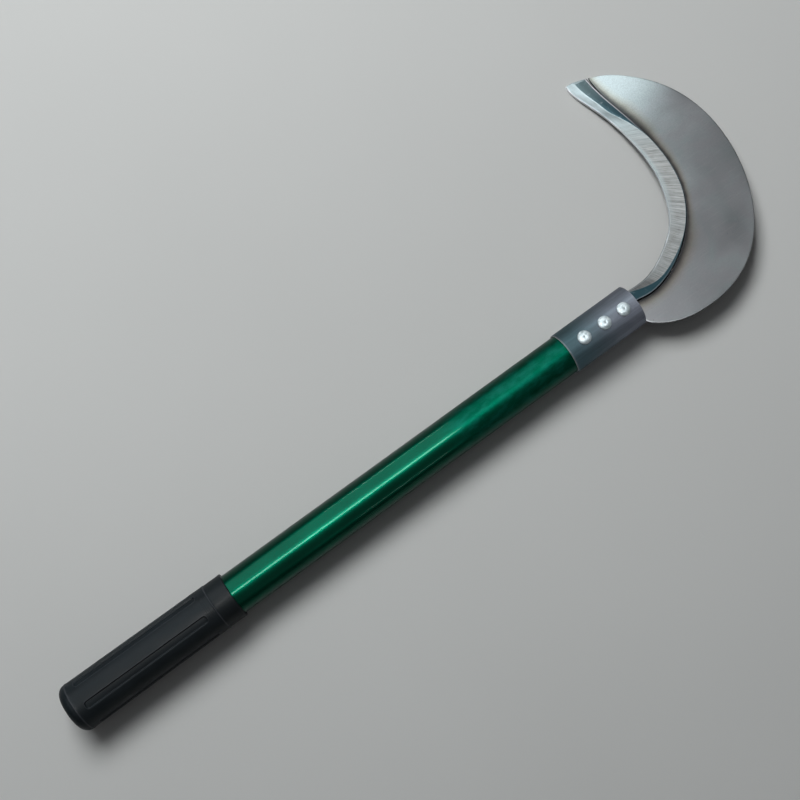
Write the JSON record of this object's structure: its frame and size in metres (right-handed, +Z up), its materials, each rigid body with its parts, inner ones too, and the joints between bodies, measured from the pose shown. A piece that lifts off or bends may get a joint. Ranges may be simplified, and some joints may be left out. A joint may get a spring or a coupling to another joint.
{
  "type": "hand sickle",
  "caption": "Hand sickle with a round steel tube handle, moulded rubber grip, riveted socket sleeve and a crescent blade with a separate ground cutting strip.",
  "frame": {"origin": "middle of the object's box at the height of the surface that it lies on", "axes": "+X from the butt along the handle to the blade, +Y to the blade tip's side, +Z up; the tool lies on its grip, its sleeve and its blade tip"},
  "size_m": [0.5164, 0.1668, 0.0298],
  "materials": {
    "plate_steel": "satin grey-blue sheet steel with heat tint along the joint",
    "strip_steel": "crosswise ground bevel, blue-black scale where it is not ground",
    "weld_metal": "rippled bead, as welded",
    "sleeve_steel": "satin blue-grey, as rolled",
    "tube_paint": "glossy metallic green paint",
    "grip_rubber": "moulded, satin black",
    "rivet_aluminium": "bright, as set",
    "mandrel_steel": "broken end, dull"
  },
  "bodies": {
    "root": {"blade_plate": "plate_steel", "cutting_strip": "strip_steel", "seam_weld": "weld_metal", "mouth_weld_outer": "weld_metal", "mouth_weld_inner": "weld_metal", "socket_sleeve": "sleeve_steel", "handle_tube": "tube_paint", "grip": "grip_rubber", "rivet_1": "rivet_aluminium", "rivet_2": "rivet_aluminium", "rivet_3": "rivet_aluminium", "rivet_1_mandrel": "mandrel_steel", "rivet_2_mandrel": "mandrel_steel", "rivet_3_mandrel": "mandrel_steel"}
  },
  "joints": []
}
